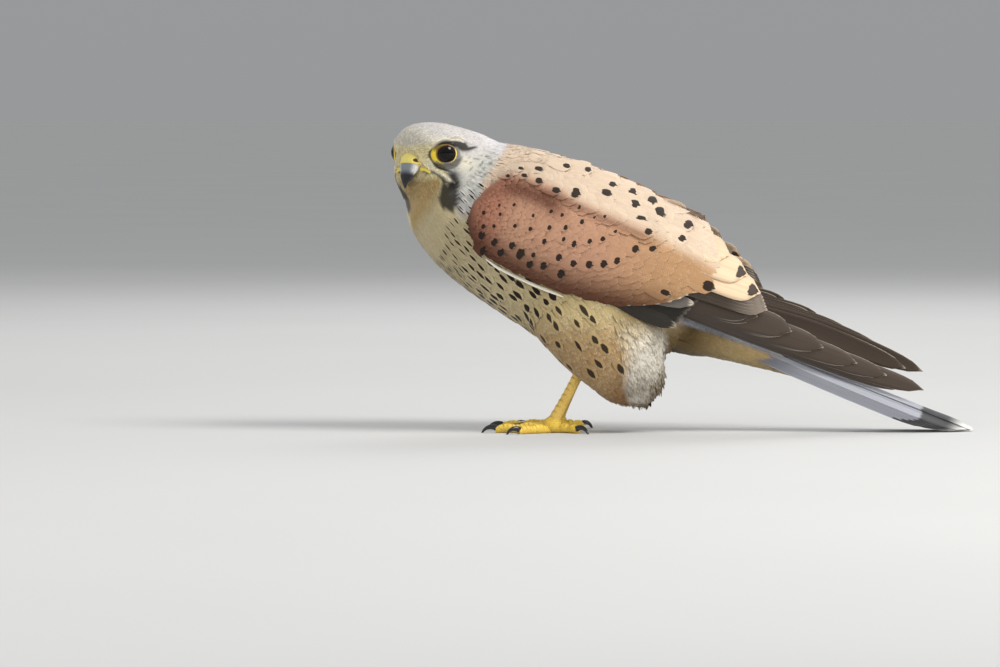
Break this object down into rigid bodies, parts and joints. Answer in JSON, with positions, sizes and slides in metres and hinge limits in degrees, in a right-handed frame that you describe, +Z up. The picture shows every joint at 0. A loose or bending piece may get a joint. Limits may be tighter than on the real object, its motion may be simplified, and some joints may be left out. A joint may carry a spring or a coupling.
{
  "type": "common kestrel",
  "caption": "Life-size still model of a standing adult male common kestrel, wings folded, head turned to its left, resting on its feet and tail tip.",
  "frame": {"origin": "on the floor, at the middle of the model's box seen from above", "axes": "+X from the bill end towards the tail tip, +Y to the bird's right, +Z up"},
  "size_m": [0.3082, 0.085, 0.1634],
  "materials": {
    "plumage_head": "soft matt feathers, pale blue-grey with fine dark shafts",
    "plumage_breast": "soft matt feathers, buff with dark brown streaks and drops",
    "plumage_thigh": "loose soft feathers, rufous buff to white",
    "plumage_wing": "smooth flat vanes, chestnut with dark spots, dark grey-brown flight feathers",
    "plumage_tail": "smooth long vanes, blue-grey with a black band and a pale tip",
    "bare_yellow_skin": "smooth waxy yellow skin",
    "bill_horn": "polished horn, blue-grey darkening to black at the tip",
    "eye": "wet clear surface over a very dark brown iris",
    "leg_scales": "small overlapping scales, yellow-orange, slightly waxy",
    "claw_horn": "smooth black horn"
  },
  "bodies": {
    "root": {"head": "plumage_head", "neck": "plumage_head", "torso": "plumage_breast", "tail": "plumage_tail", "wing_left": "plumage_wing", "wing_right": "plumage_wing", "thigh_left": "plumage_thigh", "thigh_right": "plumage_thigh", "cere": "bare_yellow_skin", "bill_upper": "bill_horn", "bill_lower": "bill_horn", "eye_left": "eye", "eye_right": "eye", "tarsus_left": "leg_scales", "tarsus_right": "leg_scales", "toe_left_1": "leg_scales", "claw_left_1": "claw_horn", "toe_left_2": "leg_scales", "claw_left_2": "claw_horn", "toe_left_3": "leg_scales", "claw_left_3": "claw_horn", "toe_left_4": "leg_scales", "claw_left_4": "claw_horn", "toe_right_1": "leg_scales", "claw_right_1": "claw_horn", "toe_right_2": "leg_scales", "claw_right_2": "claw_horn", "toe_right_3": "leg_scales", "claw_right_3": "claw_horn", "toe_right_4": "leg_scales", "claw_right_4": "claw_horn"}
  },
  "joints": []
}
